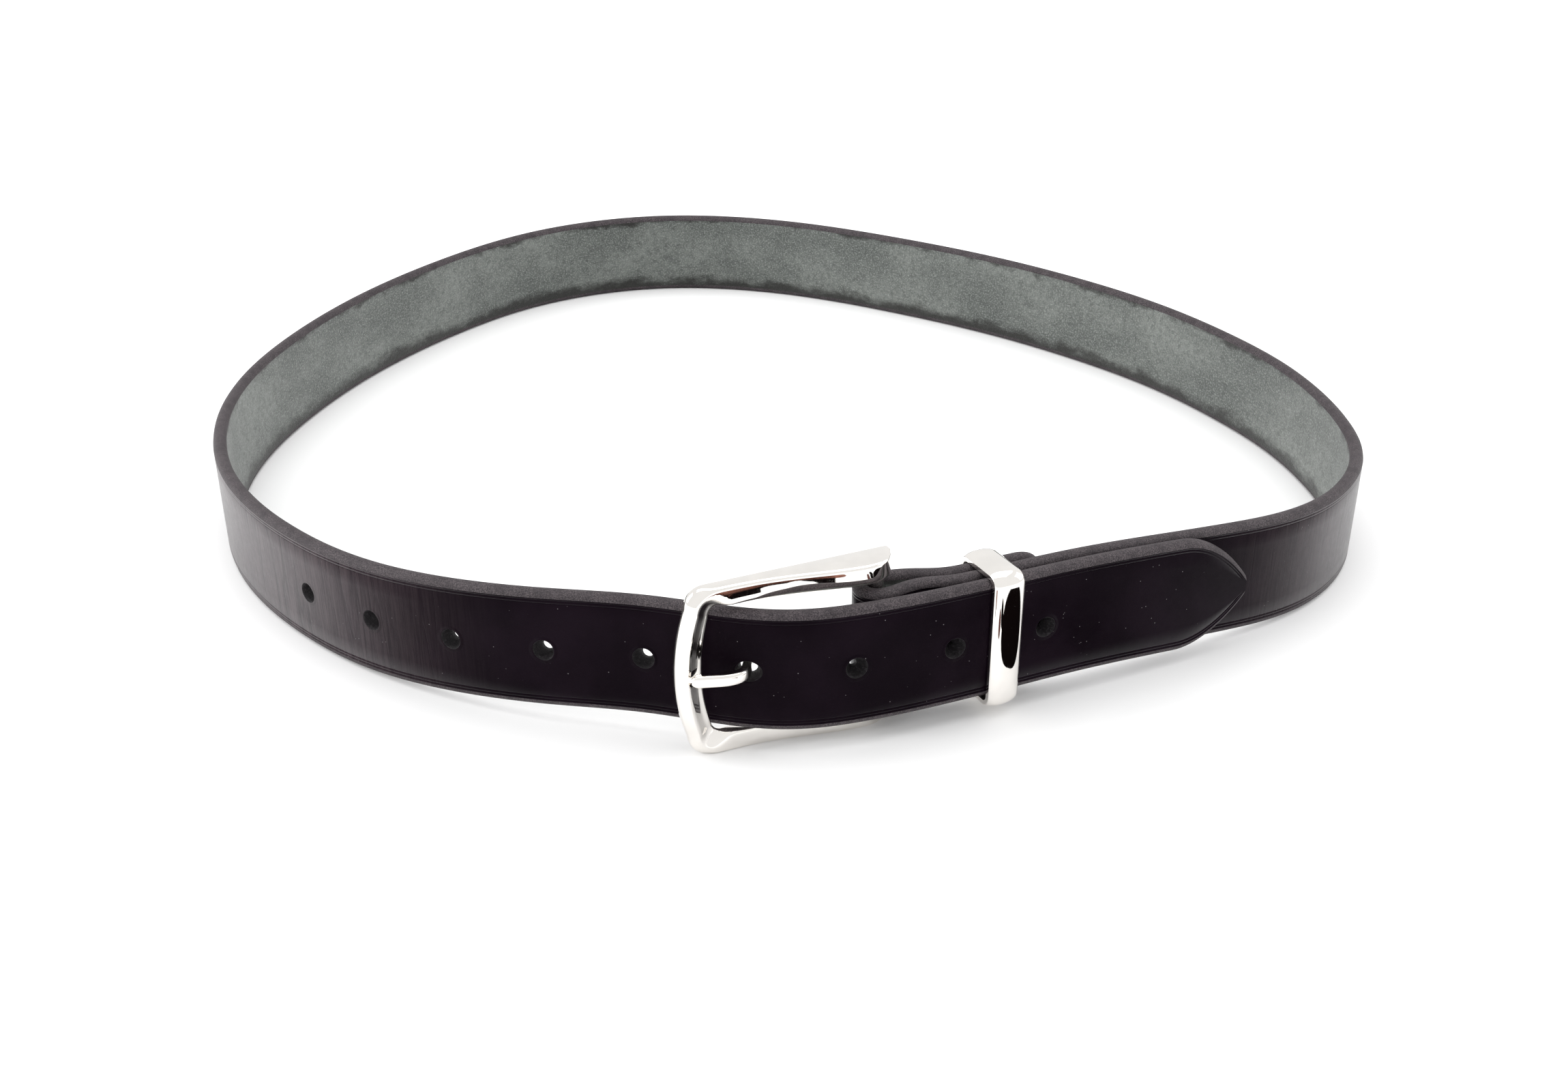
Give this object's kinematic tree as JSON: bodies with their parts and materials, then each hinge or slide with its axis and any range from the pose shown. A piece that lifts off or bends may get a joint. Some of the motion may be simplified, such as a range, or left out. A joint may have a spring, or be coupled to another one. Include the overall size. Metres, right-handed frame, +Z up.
{
  "type": "leather belt",
  "caption": "Buckled leather belt standing on its edge as a closed loop, with a bowed metal buckle, swan-necked tongue, domed metal keeper and pointed tip.",
  "frame": {"origin": "bottom centre of the belt's bounding box, on the surface it stands on", "axes": "+Z up, the buckle faces -Y, +X to the right of someone looking at the buckle"},
  "size_m": [0.3474, 0.37, 0.0444],
  "materials": {
    "strap_leather": "semi-gloss dark bridle leather with burnished edges and a grey suede back",
    "polished_nickel": "mirror-polished nickel plate",
    "screw_steel": "satin nickel-plated steel"
  },
  "bodies": {
    "strap_body": {"strap": "strap_leather", "screw_post_1": "screw_steel", "screw_post_2": "screw_steel", "screw_1": "screw_steel", "screw_2": "screw_steel"},
    "buckle_body": {"buckle_frame": "polished_nickel", "heel_bar": "screw_steel"},
    "tongue_body": {"tongue": "polished_nickel"},
    "keeper_body": {"keeper": "polished_nickel"}
  },
  "joints": [
    {"name": "buckle_hinge", "type": "hinge", "parent": "strap_body", "child": "buckle_body", "pos_m": [0.02419, -0.16414, 0.0222], "axis": [0, 0, 1], "range_deg": [-1.2, 1.5]},
    {"name": "tongue_hinge", "type": "hinge", "parent": "buckle_body", "child": "tongue_body", "pos_m": [0.02419, -0.16414, 0.0219], "axis": [0, 0, 1], "range_deg": [0, 2]},
    {"name": "keeper_slide", "type": "slide", "parent": "strap_body", "child": "keeper_body", "axis": [0.9063, 0.4226, 0], "range_m": [-0.0034, 0.0034]}
  ]
}
